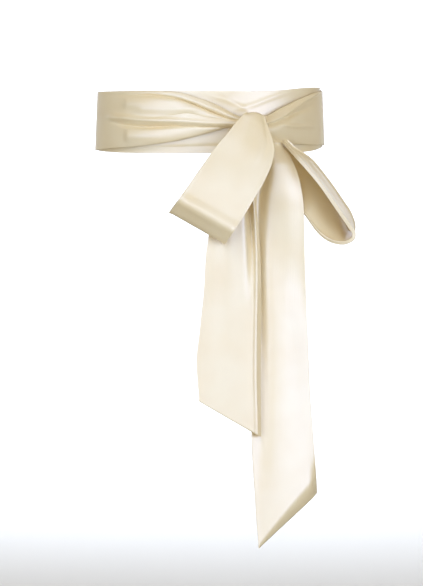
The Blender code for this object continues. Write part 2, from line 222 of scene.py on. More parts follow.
def wrap_offset(rows, creases, puffs, angle, z, outer, across):
    """How far outside the ring a stretch of the band lies, by its lift, pinch and creases."""
    angle, across = np.broadcast_arrays(angle, across)
    from_back = 180.0 - np.abs(angle)
    lift = curve_through(column(rows, "angle"), column(rows, "lift"), angle.ravel())
    lift = lift.reshape(angle.shape)
    lift = lift * (EDGE_SETTLE + (1 - EDGE_SETTLE) * np.sqrt(4 * across * (1 - across)))
    pleats = -PINCH_PLEAT_HEIGHT * np.exp(-(from_back / PINCH_PLEAT_FADE) ** 2)
    pleats = pleats * np.cos(2 * math.pi * PINCH_PLEATS * across ** PINCH_PLEAT_SPREAD)
    offset = pinch_offset(from_back, outer) + lift + pleats
    offset = offset + relief(angle, z, creases, puffs)
    if outer:
        offset = rest_on_layer(offset)
    return offset


def wrap_points(rows, creases, puffs, first, last, outer, upper_ends):
    """A stretch of the band from one turn angle to another, as rows of points from its top to its hem.

    `upper_ends` says for the ends at -180 and 180 degrees whether the stretch passes the back
    crossing in the upper half.
    """
    steps = round(math.radians(last - first) * WAIST_HALF_WIDTH / ROW_SPACING)
    angle = np.linspace(first, last, steps + 1)
    table = np.stack([column(rows, "top"), column(rows, "hem")], axis=1)
    top, hem = curve_through(column(rows, "angle"), table, angle).T
    from_back = 180.0 - np.abs(angle)
    gathered = 1 - ease((from_back - PINCH_HALF_ANGLE) / PINCH_TAPER_ANGLE)
    upper = np.where(angle < 0, upper_ends[0], upper_ends[1])
    pinch_top = np.where(upper, PINCH_UPPER_EDGE, PINCH_LOWER_TOP)
    pinch_hem = np.where(upper, PINCH_UPPER_HEM, PINCH_LOWER_HEM)
    top = top + gathered * (pinch_top - top)
    hem = hem + gathered * (pinch_hem - hem)
    across = column_shares(FINE_COLUMNS if outer else FACE_COLUMNS)[None, :]
    along = angle[:, None]
    z = top[:, None] + (hem - top)[:, None] * across
    offset = wrap_offset(rows, creases, puffs, along, z, outer, across)
    return ring_points(along + 0 * across, z, offset)


def depth_on_wrap(rows, creases, x, z):
    """How far forward an outer stretch's face lies at a place, stepping its turn until x agrees."""
    angle = np.full(x.shape, column(rows, "angle")[0])
    edges = np.stack([column(rows, "top"), column(rows, "hem")], axis=1)
    for _ in range(DEPTH_STEPS):
        found = curve_through(column(rows, "angle"), edges, angle.ravel())
        top, hem = found.T.reshape(2, *angle.shape)
        across = np.clip((top - z) / (top - hem), 0, 1)
        offset = wrap_offset(rows, creases, (), angle, z, True, across)
        reach = WAIST_HALF_WIDTH - WAIST_FLARE * z + offset
        wanted = np.degrees(np.arcsin(np.clip(x / reach, -1, 1)))
        angle = (angle + wanted) / 2
    return (WAIST_HALF_DEPTH - WAIST_FLARE * z + offset) * np.cos(np.radians(angle))


def strip_between(rows):
    """A strip carried through rows of edge pairs, raised between its edges by each row's bulge.

    Gives its points, the direction out of its face, and each point's distance along and share across.
    """
    left = np.array([row.left for row in rows], float)
    right = np.array([row.right for row in rows], float)
    middle = (left + right) / 2
    length = np.concatenate([[0], np.cumsum(np.linalg.norm(np.diff(middle, axis=0), axis=1))])
    at = np.linspace(0, length[-1], round(length[-1] / ROW_SPACING) + 1)
    left = curve_through(length, left, at)
    right = curve_through(length, right, at)
    bulge = curve_through(length, column(rows, "bulge"), at)
    across = column_shares(FACE_COLUMNS)[None, :]
    points = left[:, None, :] + (right - left)[:, None, :] * across[:, :, None]
    heading = np.gradient((left + right) / 2, at, axis=0)
    outward = np.cross(heading, right - left)
    outward = outward / np.linalg.norm(outward, axis=1)[:, None]
    arch = bulge[:, None] * np.sin(math.pi * across)
    points = points + outward[:, None, :] * arch[:, :, None]
    return points, outward[:, None, :], at[:, None] + 0 * across, across + 0 * at[:, None]


def loop_points(rows, creases, puffs):
    """A bow's loop: its strip, with its creases raised out of the strip's face."""
    points, outward, along, across = strip_between(rows)
    return points + outward * relief(along, across, creases, puffs)[:, :, None]


# The head of the right tail, which comes out of the right wrap and goes down over the knot's side.
# It is sunk past one place across and above a path of (x, z), and it fades out lower down
HEAD_MERGE_X = 85.0
HEAD_MERGE_REACH = 12.0
HEAD_TOP_PATH = ((62, -3.6), (70, -1.0), (80, 2.9), (91, 8.8), (104, 14.0))
HEAD_TOP_DROP = 1.5
HEAD_TOP_REACH = 4.0
HEAD_PROUD = 1.1
HEAD_FADE_START = -10.0
HEAD_FADE_END = -50.0
DEPTH_STEPS = 40


def head_depth(x, y, z):
    """The right tail's depth near the knot: just proud of the right wrap's face, sunk at its far edges.

    How far it is inside both edges is their soft minimum, minus the log of the sum of the
    exponentials of each with its sign turned, and its height follows the tanh of that.
    """
    path = np.array(HEAD_TOP_PATH, float)
    below_fold = (np.interp(x, path[:, 0], path[:, 1]) - HEAD_TOP_DROP - z) / HEAD_TOP_REACH
    inside = (HEAD_MERGE_X - x) / HEAD_MERGE_REACH
    nearest = -np.logaddexp(-below_fold, -inside)
    head = depth_on_wrap(RIGHT_WRAP, RIGHT_CREASES, x, z) + HEAD_PROUD * np.tanh(nearest)
    share = ease((z - HEAD_FADE_END) / (HEAD_FADE_START - HEAD_FADE_END))
    return -y + share * (head + y)


def oval_depth(x, z, lift):
    """How far forward the widening oval lies at a place on its front, plus a lift off it."""
    drop = np.hypot(np.minimum(z, 0), OVAL_ROUNDING) - OVAL_ROUNDING
    half_width = OVAL_HALF_WIDTH + OVAL_SIDE_SLOPE * drop + lift
    half_depth = OVAL_HALF_DEPTH + OVAL_FRONT_SLOPE * drop + lift
    return half_depth * np.sqrt(1 - (x / half_width) ** 2)


def hung_depth(x, y, z):
    """A tail's depth near the knot where it simply hangs: its table's own."""
    return -y


def tail_points(rows, creases, lift, top_depth, curl):
    """A tail: its strip hangs from the knot, lies against the oval and curls at its end.

    Its depth is the soft maximum of where it would hang freely and of the oval's front.
    """
    points, _, along, across = strip_between(rows)
    x, y, z = np.moveaxis(points, -1, 0)
    resting = oval_depth(x, z, lift)
    free = top_depth(x, y, z)
    depth = free + HANG_BLEND * np.logaddexp(0, (resting - free) / HANG_BLEND)
    depth = depth + relief(along, across, creases) - curl(along[-1, 0] - along, across)
    return np.stack([x, -depth, z], axis=-1)


def unit(vectors):
    """Each vector brought to a length of one."""
    length = np.linalg.norm(vectors, axis=-1, keepdims=True)
    return vectors / np.maximum(length, SMALLEST_LENGTH)


def face_directions(points):
    """The direction out of a sheet at each point: the cross product of its two slopes."""
    return unit(np.cross(np.gradient(points, axis=0), np.gradient(points, axis=1)))


def edge_height(inset, roll):
    """Half the strip's thickness by the distance from its edge: the cloth's, and the edge's roll."""
    return CLOTH_HALF_WALL + roll * np.interp(inset, ROLL_STATIONS, ROLL_SHARES)


def shell_mesh(name, points, edge, turned_end):
    """A closed shell on both sides of a sheet of points, thicker where its edges are turned.

    The edge's middle line is let in as a seam. Each row's points run over the outer face, round one
    edge, back over the inner face and round the other edge, as one ring; the rings are joined by
    four-sided faces and the ends are closed.
    """
    rows, columns = points.shape[:2]
    normal = face_directions(points)
    share = column_shares(columns - 2 * len(EDGE_INSETS))
    inset = np.minimum(share, 1 - share)[None, :] * STRIP_WIDTH + np.zeros((rows, 1))
    if turned_end:
        steps = np.linalg.norm(np.diff(points, axis=0), axis=-1)
        to_end = np.concatenate([np.cumsum(steps[::-1], axis=0)[::-1], np.zeros((1, columns))])
        slope = points[-1, -1] - points[-1, 0]
        end_inset = to_end * abs(slope[0]) / np.linalg.norm(slope)
        inset = np.minimum(inset, end_inset)
    outer = points + normal * edge_height(inset, edge.outer)[:, :, None]
    inner = points - normal * edge_height(inset, edge.inner)[:, :, None]
    sideways = unit(points[:, 1] - points[:, 0])
    other_sideways = unit(points[:, -2] - points[:, -1])
    near_seam = points[:, 0] + sideways * edge.seam
    far_seam = points[:, -1] + other_sideways * edge.seam
    ring = np.concatenate([outer, far_seam[:, None], inner[:, ::-1], near_seam[:, None]], axis=1)
    count = ring.shape[1]
    numbers = np.arange(rows * count).reshape(rows, count)
    around = np.roll(numbers, -1, axis=1)
    walls = np.stack([numbers[:-1], numbers[1:], around[1:], around[:-1]], axis=-1).reshape(-1, 4)
    caps = []
    for row, turned in ((numbers[0], False), (numbers[-1], True)):
        front = row[:columns]
        back = row[columns + 1:2 * columns + 1][::-1]
        cap = np.stack([front[:-1], front[1:], back[1:], back[:-1]], axis=-1)
        sides = np.array([[row[columns - 1], row[columns], row[columns + 1]],
                          [row[2 * columns], row[2 * columns + 1], row[0]]])
        if turned:
            cap = cap[:, ::-1]
            sides = sides[:, ::-1]
        caps += cap.tolist() + sides.tolist()
    mesh = bpy.data.meshes.new(name)
    mesh.from_pydata((ring.reshape(-1, 3) * MM).tolist(), [], walls.tolist() + caps)
    mesh.update()
    mesh.shade_smooth()
    add_strip_map(mesh, points)
    return mesh


def add_strip_map(mesh, points):
    """The satin's own map, in metres across and along the strip, the same on both of its faces."""
    rows, columns = points.shape[:2]
    steps = np.linalg.norm(np.diff(points, axis=1), axis=-1)
    across = np.cumsum(np.concatenate([np.zeros((rows, 1)), steps], axis=1), axis=1)
    middle = points[:, columns // 2]
    along = np.concatenate([[0], np.cumsum(np.linalg.norm(np.diff(middle, axis=0), axis=-1))])
    along = along[:, None] + np.zeros((1, columns))
    maps = []
    for field in (across, along):
        ring = np.concatenate([field, field[:, -1:], field[:, ::-1], field[:, :1]], axis=1)
        maps.append(ring.reshape(-1) * MM)
    set_strip_map(mesh, np.stack(maps, axis=1))


def set_strip_map(mesh, places):
    """Writes each point's place on the strip into the mesh's map."""
    corner_point = np.empty(len(mesh.loops), int)
    mesh.loops.foreach_get("vertex_index", corner_point)
    layer = mesh.uv_layers.new(name="strip")
    layer.uv.foreach_set("vector", places[corner_point].astype(np.float32).ravel())


class Value:
    """One number in the shader; sums and products of it add their Math nodes."""

    def __init__(self, graph, socket):
        self.graph = graph
        self.socket = socket

    def math(self, operation, *others):
        """A Math node with this value as its first input."""
        return self.graph.number("ShaderNodeMath", {"operation": operation}, self, *others)

    def __add__(self, other):
        return self.math("ADD", other)

    __radd__ = __add__

    def __mul__(self, other):
        return self.math("MULTIPLY", other)

    __rmul__ = __mul__

    def between(self, low, high):
        """0 below one value and 1 above another, with a straight rise between them."""
        return self.graph.output(
            "ShaderNodeMapRange", {"clamp": True}, {0: self, 1: low, 2: high, 3: 0.0, 4: 1.0}, 0)


class Graph:
    """A material's nodes."""

    def __init__(self, material):
        material.use_nodes = True
        self.tree = material.node_tree
        self.surface = self.tree.nodes["Principled BSDF"]

    def node(self, kind, settings, inputs):
        """A node of any type, with its settings and the values or links of its sockets."""
        made = self.tree.nodes.new(kind)
        for name, value in settings.items():
            setattr(made, name, value)
        for key, value in inputs.items():
            self.feed(made.inputs[key], value)
        return made

    def feed(self, socket, value):
        """Links a value to a socket, or sets a constant on it."""
        if isinstance(value, Value):
            self.tree.links.new(value.socket, socket)
        elif isinstance(value, bpy.types.NodeSocket):
            self.tree.links.new(value, socket)
        else:
            socket.default_value = value

    def output(self, kind, settings, inputs, which):
        """One output of a new node, as a value."""
        return Value(self, self.node(kind, settings, inputs).outputs[which])

    def number(self, kind, settings, *values):
        """The first output of a new node whose inputs are given in order."""
        return self.output(kind, settings, dict(enumerate(values)), 0)

    def noise(self, place, size, detail, stretch=(1, 1, 1)):
        """A soft uneven pattern of about `size` metres, drawn out along the map's directions."""
        scaled = self.node("ShaderNodeMapping", {}, {"Vector": place, "Scale": stretch})
        return self.output("ShaderNodeTexNoise", {}, {
            "Vector": scaled.outputs[0], "Scale": 1 / size, "Detail": detail}, 0)


# The satin's two tones and its finish
CHAMPAGNE = (0.85, 0.705, 0.400, 1)
CHAMPAGNE_DEEP = (0.82, 0.650, 0.335, 1)
SATIN_ROUGHNESS = 0.43
SATIN_SHINE = 1.0
SATIN_IOR = 1.8
ROUGHNESS_SPREAD = 0.08

# The satin's fine relief, in metres: drawn streaks along the strip, and fainter ribs beside them.
# The ribs are a wave, of which RIB_RADIAN is one radian: they lie about 2.6 mm apart.
# The Wave node turns WAVE_RADIANS for one unit of its scaled place.
DRAWN_SIZE = 0.004
DRAWN_STRETCH = (2.6, 0.09, 1)
DRAWN_DETAIL = 3.0
DRAWN_HEIGHT = 0.5
RIB_RADIAN = 0.00042
WAVE_RADIANS = 20
RIB_DISTORTION = 1.5
RIB_DETAIL = 1.0
RIB_HEIGHT = 0.06
RELIEF_STRENGTH = 0.35
RELIEF_DEPTH = 0.0004

# The slow change between the two champagne tones
CLOUD_SIZE = 0.05
CLOUD_DETAIL = 2.0
CLOUD_LOW = 0.35
CLOUD_HIGH = 0.7

# The numbers of the colour Mix node's sockets
MIX_SHARE = 0
MIX_FIRST = 6
MIX_SECOND = 7
MIX_RESULT = 2


def make_satin():
    """Champagne satin: a soft sheen, faint streaks drawn out along the strip, and fainter ribs."""
    material = bpy.data.materials.new("champagne_satin")
    graph = Graph(material)
    strip = graph.node("ShaderNodeUVMap", {"uv_map": "strip"}, {}).outputs[0]
    place = graph.node("ShaderNodeTexCoord", {}, {}).outputs["Object"]
    drawn = graph.noise(strip, DRAWN_SIZE, DRAWN_DETAIL, DRAWN_STRETCH)
    cloud = graph.noise(place, CLOUD_SIZE, CLOUD_DETAIL)
    colour = graph.node("ShaderNodeMix", {"data_type": "RGBA"}, {
        MIX_SHARE: cloud.between(CLOUD_LOW, CLOUD_HIGH), MIX_FIRST: CHAMPAGNE, MIX_SECOND: CHAMPAGNE_DEEP})
    ribs = graph.node("ShaderNodeTexWave", {"bands_direction": "X"}, {
        "Vector": strip, "Scale": 1 / (RIB_RADIAN * WAVE_RADIANS),
        "Distortion": RIB_DISTORTION, "Detail": RIB_DETAIL})
    rib_relief = Value(graph, ribs.outputs["Fac"]) * RIB_HEIGHT
    bump = graph.node("ShaderNodeBump", {}, {
        "Strength": RELIEF_STRENGTH, "Distance": RELIEF_DEPTH, "Height": drawn * DRAWN_HEIGHT + rib_relief})
    roughness = SATIN_ROUGHNESS - ROUGHNESS_SPREAD / 2 + drawn * ROUGHNESS_SPREAD
    surface = graph.surface
    graph.feed(surface.inputs["Base Color"], colour.outputs[MIX_RESULT])
    graph.feed(surface.inputs["Roughness"], roughness)
    graph.feed(surface.inputs["Normal"], bump.outputs[0])
    surface.inputs["Specular IOR Level"].default_value = SATIN_SHINE
    surface.inputs["IOR"].default_value = SATIN_IOR
    return material


def add_piece(name, mesh, satin):
    """A finished piece: it stands at the origin, and stands for the CAD node of its own name."""
    piece = bpy.data.objects.new(name + "_cloth", mesh)
    bpy.context.scene.collection.objects.link(piece)
    mesh.materials.append(satin)
    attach(piece, "root")
    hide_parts(name)
    return piece


# The flat middle of the strip, inside both ends
INNER_WRAP = [
    Turn(-180, 37, -34, 0),
    Turn(-150, 37, -34, 0),
    Turn(-90, 35.5, -34.5, 0),
    Turn(-60, 36, -36.5, 0),
    Turn(-31, 36, -37.5, 0),
    Turn(0, 36, -37, 0),
    Turn(30, 36, -37, 0),
    Turn(57, 40, -36, 0),
    Turn(90, 41, -29.8, 0),
    Turn(120, 40.5, -31, 0),
    Turn(150, 38.5, -33, 0),
    Turn(180, 38, -33, 0),
]
INNER_CREASES = [
    Crease("sharp", 1.8, -1.9, (
        (-62, -35.5, 0), (-50, -33.2, 0.7), (-25, -30.8, 1), (0, -29, 1), (25, -28.6, 1),
        (40, -29, 0))),
    Crease("soft", 3.5, 1.1, ((-5, 35, 0), (6, 27, 1), (16, 17, 1), (22, 10, 0))),
    Crease("soft", 3.0, 0.9, ((8, 12, 0), (20, 18, 1), (36, 30, 1), (50, 37, 0))),
    Crease("sharp", 2.2, -1.7, ((150, 30, 0), (168, 27, 0.8), (180, 26, 0.9), (181, 26, 0.9))),
    Crease("lap", 4.0, 1.5, ((148, 10, 0), (166, 16, 0.7), (180, 17, 0.8), (181, 17, 0.8))),
    Crease("soft", 3.0, 1.1, ((150, 0, 0), (168, 8, 0.7), (180, 9, 0.8), (181, 9, 0.8))),
    Crease("soft", 3.0, 1.1, ((-181, -7, 0.9), (-180, -7, 0.9), (-168, -6, 0.7), (-150, 4, 0))),
    Crease("lap", 4.0, 1.5, ((-181, -17, 0.9), (-180, -17, 0.9), (-166, -16, 0.7), (-146, -12, 0))),
    Crease("sharp", 2.2, -1.7, ((-181, -26, 0.9), (-180, -26, 0.9), (-168, -27, 0.8), (-150, -30, 0))),
]
INNER_PUFFS = [
    Puff(-14, 33, 8, 8, 4, 0.5),
    Puff(10, 29, 6, 6, 5, 0.7),
]

# One end, from the back round the left side into the knot
LEFT_WRAP = [
    Turn(-180, 38, -34, 0),
    Turn(-150, 38, -34.5, 0),
    Turn(-120, 37, -35, 0),
    Turn(-90, 36, -35, 0),
    Turn(-70, 35.7, -33, 0.8),
    Turn(-54, 35.7, -31.2, 2.8),
    Turn(-38, 35.8, -28.9, 4.4),
    Turn(-27, 35.7, -26.0, 4.8),
    Turn(-14.5, 33.2, -21, 5.2),
    Turn(-4.7, 26.2, -15.2, 5.8),
    Turn(1, 21.5, -11.5, 7.2),
    Turn(6.5, 15.1, -7.6, 8.8),
    Turn(11.8, 8.2, -6, 10.5),
    Turn(19, 2, -6, 12),
]
LEFT_CREASES = [
    Crease("sharp", 1.4, -6.0, (
        (-66, 31.8, 0), (-52.1, 31.4, 0.25), (-37.4, 30.8, 0.55), (-30.6, 30.7, 0.8),
        (-22.2, 28.6, 1), (-16.6, 26.7, 1), (-8.9, 21.0, 1), (-1.9, 14.0, 0.9), (4.2, 8.0, 0.8),
        (8.7, 3.7, 0.7), (15, 0, 0.6))),
    Crease("soft", 2.2, 0.7, (
        (-47.1, 33.4, 0), (-36.7, 33.2, 0.5), (-25.0, 32.4, 0.8), (-15.5, 29.2, 1), (-7.1, 23.3, 1),
        (0, 17.1, 0.9), (5.6, 11.3, 0.8), (10.1, 5.7, 0.7), (15, 2, 0.5))),
    Crease("soft", 3.0, 3.8, (
        (-66, 5.4, 0), (-60, 5.3, 0.2), (-53, 5.0, 0.7), (-45.8, 4.4, 1.0),
        (-35.1, 2.4, 0.9), (-24.7, 1.4, 0.8), (-16.4, 1.0, 0.7), (-9, 0, 0.6), (-1.8, -1.4, 0.5),
        (12, -3.4, 0.4))),
    Crease("soft", 2.4, -4.6, (
        (-58, 0, 0), (-52, -2.2, 0.2), (-46.5, -4.1, 0.7), (-39.4, -5.7, 1), (-33.2, -6.4, 1),
        (-24.7, -6.0, 0.8), (-16.4, -5.5, 0.4), (-9, -5.7, 0))),
    Crease("sharp", 1.2, -2.6, (
        (-30, -5.6, 0), (-22, -5.2, 0.8), (-16.4, -5.3, 1), (-9.0, -5.6, 1), (-1.4, -6.3, 1),
        (10.1, -7.1, 1), (16, -7.4, 0.8))),
    Crease("sharp", 1.0, -0.9, (
        (-48, 4.4, 0), (-42, 4.2, 0.6), (-32.1, 4.5, 0.7), (-22.1, 6.4, 0.6), (-18, 7.5, 1),
        (-10.1, 9.4, 1), (-2.3, 5.4, 1), (4.9, 2.9, 1), (12, 0.6, 1))),
]
LEFT_PUFFS = [
    Puff(-56, 5.4, 5.0, 12, 4.0, 1.6),
    Puff(-43, 21, 4.0, 24, 6.5, 2.8),
    Puff(-33, 14, 4.5, 20, 5, 1.5),
    Puff(-42, -17, 3.0, 22, 8.0, 3.2),
    Puff(-10, 15, 10, 10, 3.6, 1.0),
]

# The other end, from the back round the right side into the knot
RIGHT_WRAP = [
    Turn(20, 2, -20, 27),
    Turn(27, 6, -22, 23),
    Turn(32, 11, -24, 19.5),
    Turn(37, 16.4, -25.3, 15.2),
    Turn(42, 20.5, -26, 11),
    Turn(48, 25.2, -26.6, 7),
    Turn(57, 30.4, -27.2, 3.2),
    Turn(65, 33.8, -27.6, 1.6),
    Turn(76, 36, -28, 0.5),
    Turn(90, 37.5, -28.8, 0),
    Turn(120, 40, -31, 0),
    Turn(150, 38.5, -33.5, 0),
    Turn(180, 38, -34, 0),
]
RIGHT_CREASES = [
    Crease("lap", 7.0, 5.6, (
        (20, -3.5, 1), (26, -0.6, 1), (30.4, 3.2, 1), (36.4, 9.2, 0.95), (41.4, 14.4, 0.85),
        (47.4, 19.8, 0.7), (58.5, 27.5, 0.5), (76.2, 34.5, 0.2), (84, 36, 0))),
    Crease("soft", 2.2, 2.2, (
        (29, -4.0, 0), (34, -4.6, 0.6), (41.1, -5.6, 1), (48.7, -5.9, 0.9), (66, -6.5, 0))),
    Crease("soft", 3.2, -4.6, (
        (25, -3.6, 0.5), (30, -1.2, 1), (36, 3.8, 1), (43, 9.2, 0.7), (52, 14, 0.4), (64, 20, 0))),
    Crease("sharp", 1.2, -0.6, (
        (22, 2.5, 1), (30, 7.5, 1), (40, 16.5, 0.8), (50, 24.5, 0.4), (60, 30, 0))),
]
RIGHT_PUFFS = [
    Puff(62, 6, 14, 14, 9, 0.8),
    Puff(52, -17, 12, 12, 6, 0.7),
]

# Creases round the sides and back, which run into the crossing
BACK_CREASES_LEFT = [
    Crease("sharp", 2.2, -1.7, ((-181, 26, 0.9), (-165, 27, 1), (-148, 22, 0.7), (-128, 18, 0))),
    Crease("lap", 4.0, 1.5, ((-181, 17, 0.8), (-162, 14, 1), (-140, 3, 0.7), (-112, -4, 0))),
    Crease("soft", 3.0, 1.1, ((-181, 9, 0.8), (-160, 2, 1), (-138, -14, 0.6), (-118, -20, 0))),
    Crease("sharp", 1.8, -1.2, ((-128, 27, 0), (-112, 25, 1), (-96, 26, 0.8), (-80, 28, 0))),
    Crease("soft", 4.0, 0.9, ((-116, -17, 0), (-100, -14, 1), (-84, -15, 0))),
]
BACK_CREASES_RIGHT = [
    Crease("soft", 3.0, 1.1, ((112, 24, 0), (132, 17, 0.8), (158, -2, 1), (181, -7, 0.9))),
    Crease("lap", 4.0, 1.5, ((104, 6, 0), (134, 0, 0.7), (160, -14, 1), (181, -17, 0.9))),
    Crease("sharp", 2.2, -1.7, ((124, -20, 0), (146, -23, 0.8), (166, -26, 1), (181, -26, 0.9))),
    Crease("soft", 4.5, 1.0, ((84, 14, 0), (100, 12, 1), (122, 15, 0))),
    Crease("sharp", 1.8, -1.0, ((88, -16, 0), (104, -18, 1), (124, -17, 0))),
]

# The bow's loops leave the knot and come back to it behind
LEFT_LOOP = [
    Cross((45, -104, 0), (60, -104, -3), 0),
    Cross((43.5, -109.5, 9.5), (62.5, -109.5, 6.5), 2.4),
    Cross((39.5, -114.5, 8.5), (66.5, -115, -4.5), 3.2),
    Cross((34, -119, 3), (71, -120.5, -17), 3),
    Cross((28.5, -123, -3), (74.5, -126, -31), 2.5),
    Cross((21, -128, -13), (72, -133, -47), 2.5),
    Cross((8, -134, -28), (63.5, -141, -67), 2),
    Cross((-11.5, -145, -54.5), (50, -149, -90), 1),
    Cross((-28.5, -152.5, -78.5), (35.5, -154.5, -114), 0.4),
    Cross((-36.5, -156.5, -89.5), (27.5, -158, -125.5), 0),
    Cross((-41.4, -149, -96.0), (22.6, -150.5, -132.4), 0),
    Cross((-47.2, -134.0, -104.4), (17.0, -135.5, -140.8), 0),
    Cross((-46.8, -128.0, -103.8), (17.4, -129, -140.0), 0),
    Cross((-41.0, -126.0, -96.5), (22.6, -127, -132), 0),
    Cross((-26, -129, -76), (36, -130, -111), 0),
    Cross((-8, -125, -52), (47, -127, -86), 0),
    Cross((12, -122, -36), (56, -124, -62), 0),
    Cross((28, -119.5, -27.5), (61, -121.5, -43), 0),
    Cross((38, -117.5, -22), (63, -118.5, -28.5), 0),
    Cross((46, -108, -14), (60, -108, -17), 0),
]
LEFT_LOOP_CREASES = [
    Crease("soft", 0.07, -0.7, ((14, 0.86, 0), (26, 0.84, 1), (46, 0.80, 0.8), (80, 0.78, 0))),
    Crease("soft", 0.10, 0.5, ((10, 0.25, 0), (40, 0.3, 1), (90, 0.32, 0.4), (120, 0.35, 0))),
]
LEFT_LOOP_PUFFS = [
    Puff(95, 0.6, 34, 34, 0.3, 0.8),
]

RIGHT_LOOP = [
    Cross((74, -87, -18), (75, -82, -17), 0),
    Cross((81, -88, -21.5), (82.5, -82, -19.5), 0),
    Cross((87.5, -91.5, -25.5), (90, -83, -22.5), 0.3),
    Cross((95, -104, -34), (99, -82, -31), 0.5),
    Cross((101, -118, -41), (110, -81, -38.5), 0.5),
    Cross((112.5, -127, -54), (120.5, -77, -46.5), 0.5),
    Cross((125, -132, -69), (134, -72, -62.5), 0.5),
    Cross((148, -134, -101.5), (155.5, -66, -92), 0.3),
    Cross((162, -134, -121.8), (168, -64, -112), 0),
    Cross((166.9, -134, -130), (171.3, -64, -123.5), 0),
    Cross((165.2, -134, -136), (170.2, -64, -130), 0),
    Cross((159, -133, -139.5), (164.5, -63.5, -127.5), 0),
    Cross((150.9, -132, -140.8), (157.3, -63, -111), 0),
    Cross((137, -129, -137), (144.5, -63.5, -93), 0),
    Cross((124.5, -121, -126.9), (132, -64.5, -73.5), 0),
    Cross((113.5, -109, -112), (118.5, -67, -56), 0),
    Cross((101, -99, -92), (106.5, -73, -44), 0),
    Cross((91, -93, -62), (96.5, -79, -37), 0),
    Cross((84.5, -89, -38), (88.5, -82, -31.5), 0),
    Cross((76, -90, -25), (76.5, -84, -23), 0),
]
RIGHT_LOOP_CREASES = [
    Crease("soft", 0.10, -1.0, ((30, 0.45, 0), (60, 0.42, 1), (100, 0.40, 0.8), (140, 0.38, 0))),
    Crease("soft", 0.08, 0.8, ((24, 0.70, 0), (50, 0.68, 1), (95, 0.66, 0.6), (130, 0.66, 0))),
]

# The bow's tails: the left tail lies over the right one, which goes over the knot's right side
LEFT_TAIL = [
    Cross((47, -101, -17), (60, -101, -18), 0),
    Cross((42, -106, -29), (60.5, -106, -29), 1),
    Cross((30.5, -112, -50.5), (56.5, -112, -50.5), 2),
    Cross((14, -113, -85.5), (53, -114, -85.5), 2),
    Cross((3.5, -113, -108.5), (55, -115, -109), 1),
    Cross((-3.5, -113, -145), (58, -114, -148), 0.5),
    Cross((-7.5, -113, -200), (59.5, -113, -202), 0.5),
    Cross((-11.5, -113, -237.5), (59, -113, -245), 0),
    Cross((-15.5, -113, -279), (58.5, -113, -300), 0),
    Cross((-14, -113, -303), (58.7, -113, -335), 0),
    Cross((-12.5, -113, -322), (59, -113, -363), 0),
]
LEFT_TAIL_LIFT = 11.0
LEFT_TAIL_CREASES = [
    Crease("soft", 0.09, -8.5, (
        (35, 0.78, 0.3), (60, 0.82, 0.9), (95, 0.845, 1), (125, 0.86, 0.9), (160, 0.86, 0.5),
        (200, 0.85, 0))),
    Crease("soft", 0.035, 4.6, (
        (30, 0.93, 0.3), (60, 0.93, 1), (110, 0.93, 1), (200, 0.92, 0.7), (260, 0.925, 0.8),
        (350, 0.94, 0.6))),
    Crease("soft", 0.05, -7.0, (
        (40, 1.02, 0), (90, 1.02, 0.4), (180, 1.02, 1), (260, 1.02, 1), (350, 1.02, 0.7))),
    Crease("soft", 0.13, 1.2, ((20, 0.3, 0), (60, 0.35, 1), (150, 0.42, 0.6), (240, 0.5, 0))),
    Crease("soft", 0.12, -0.9, ((70, 0.12, 0), (130, 0.14, 1), (220, 0.16, 0.8), (330, 0.2, 0))),
]
RIGHT_TAIL = [
    Cross((60, -104, 2), (93, -84, 10), 0),
    Cross((61, -104, -6), (91.5, -86, 1), 0),
    Cross((62, -104, -14), (89, -86, -9), 0),
    Cross((63, -104.5, -20), (86.5, -88, -19), 0),
    Cross((63.5, -105, -28), (85.5, -91, -27.5), 1),
    Cross((63, -107, -40), (93.5, -99, -40.5), 2.5),
    Cross((58, -107.5, -60), (102.5, -105, -60.5), 4),
    Cross((51.5, -107.5, -82.5), (107.5, -108.5, -83), 4.5),
    Cross((49, -107.5, -107), (110, -109, -108), 3),
    Cross((47.5, -108, -150), (111, -109, -151), 1),
    Cross((46.5, -108, -207), (113, -108, -209), 0),
    Cross((46.5, -108, -265), (115, -108, -266.5), 0),
    Cross((47.5, -108, -322), (117, -108, -320), 0),
    Cross((48.5, -108, -375), (119, -108, -350), 0),
    Cross((51.5, -108, -425), (121.5, -108, -386), 0),
    Cross((54, -108, -463), (123.5, -108, -414), 0),
    Cross((56.5, -108, -489), (125, -108, -433), 0),
]
RIGHT_TAIL_LIFT = 3.5
RIGHT_TAIL_CREASES = [
    Crease("soft", 0.125, -8.0, (
        (40, 0.16, 0.2), (70, 0.14, 0.8), (110, 0.13, 1), (160, 0.15, 0.9), (260, 0.19, 0.8),
        (350, 0.17, 0.4), (420, 0.14, 0))),
    Crease("soft", 0.2, 1.2, ((60, 0.62, 0), (130, 0.68, 1), (300, 0.6, 0.7), (420, 0.55, 0))),
]

# The right tail's low corner turns back: how far from its end and from its side, and how deep
CURL_END_REACH = 30.0
CURL_END_NARROWEST = 0.15
CURL_SIDE_REACH = 9.0
CURL_SIDE_LENGTH = 90.0
CURL_SIDE_SHARE = 0.5
CURL_DEPTH = 15.0


def no_curl(to_end, across):
    """No curl: the tail ends flat."""
    return 0.0 * to_end


def corner_curl(to_end, across):
    """How far the right tail's low corner turns back: the squares of how near its two edges are."""
    end_reach = CURL_END_REACH * (CURL_END_NARROWEST + (1 - CURL_END_NARROWEST) * across)
    near_end = np.clip(1 - to_end / end_reach, 0, 1)
    from_side = (1 - across) * STRIP_WIDTH
    near_side = np.clip(1 - from_side / CURL_SIDE_REACH, 0, 1) * ease(1 - to_end / CURL_SIDE_LENGTH)
    return CURL_DEPTH * (near_end ** 2 * np.sqrt(across) + CURL_SIDE_SHARE * near_side ** 2)


